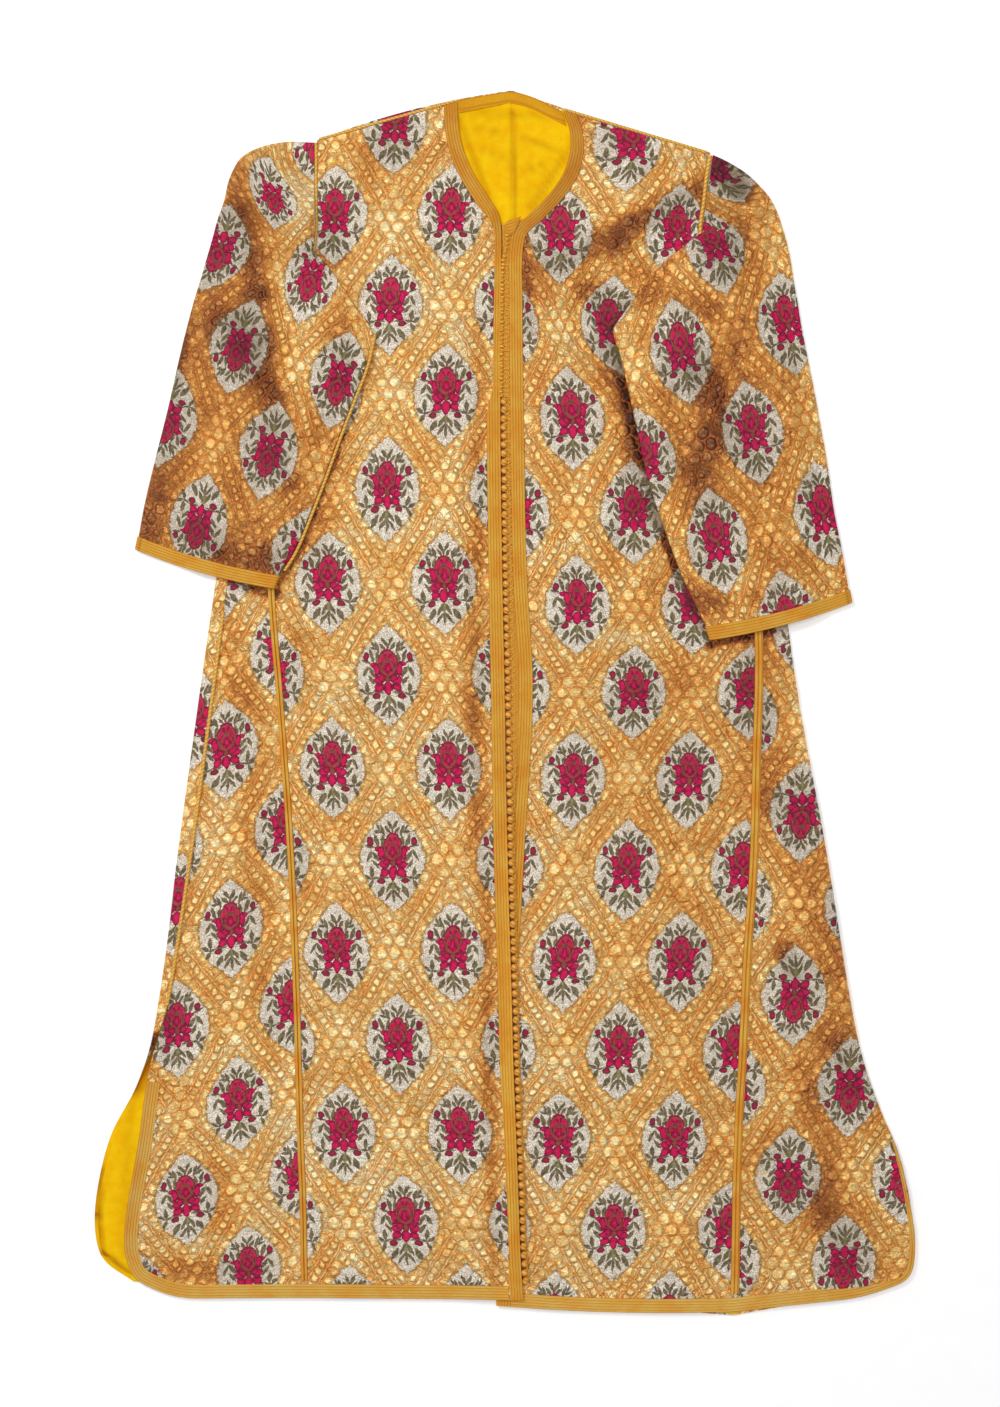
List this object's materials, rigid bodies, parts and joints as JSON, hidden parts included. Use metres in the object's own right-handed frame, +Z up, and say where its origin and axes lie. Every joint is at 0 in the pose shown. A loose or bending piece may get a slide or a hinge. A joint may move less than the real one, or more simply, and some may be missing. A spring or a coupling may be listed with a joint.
{
  "type": "moroccan kaftan",
  "caption": "Long open-fronted brocade kaftan laid flat, with three-quarter sleeves folded down, braided edges, flared gores and a row of knotted buttons.",
  "frame": {"origin": "middle of the kaftan's bounding box, on the surface that it lies on", "axes": "+Y from the hem towards the neck, +Z up out of the surface, +X to the right as seen from above"},
  "size_m": [0.9425, 1.408, 0.0195],
  "materials": {
    "brocade": "gold lamé brocade with a satin sheen",
    "lining": "matt cotton",
    "braid": "ribbed woven braid",
    "knots": "knotted silk cord"
  },
  "bodies": {
    "root": {"back_left": "brocade", "back_right": "brocade", "back_gore_left": "brocade", "back_gore_right": "brocade", "front_left": "brocade", "front_right": "brocade", "front_gore_left": "brocade", "front_gore_right": "brocade", "sleeve_left": "brocade", "sleeve_right": "brocade", "lining_left": "lining", "lining_right": "lining", "neck_band": "lining", "braid_front_left": "braid", "braid_front_right": "braid", "braid_hem_left": "braid", "braid_hem_right": "braid", "cuff_braid_left": "braid", "cuff_braid_right": "braid", "tape_gore_left": "braid", "tape_gore_right": "braid", "piping_shoulder_left": "braid", "piping_shoulder_right": "braid", "piping_armhole_left": "braid", "piping_armhole_right": "braid", "piping_side_left": "braid", "piping_underarm_left": "braid", "knots": "knots"}
  },
  "joints": []
}
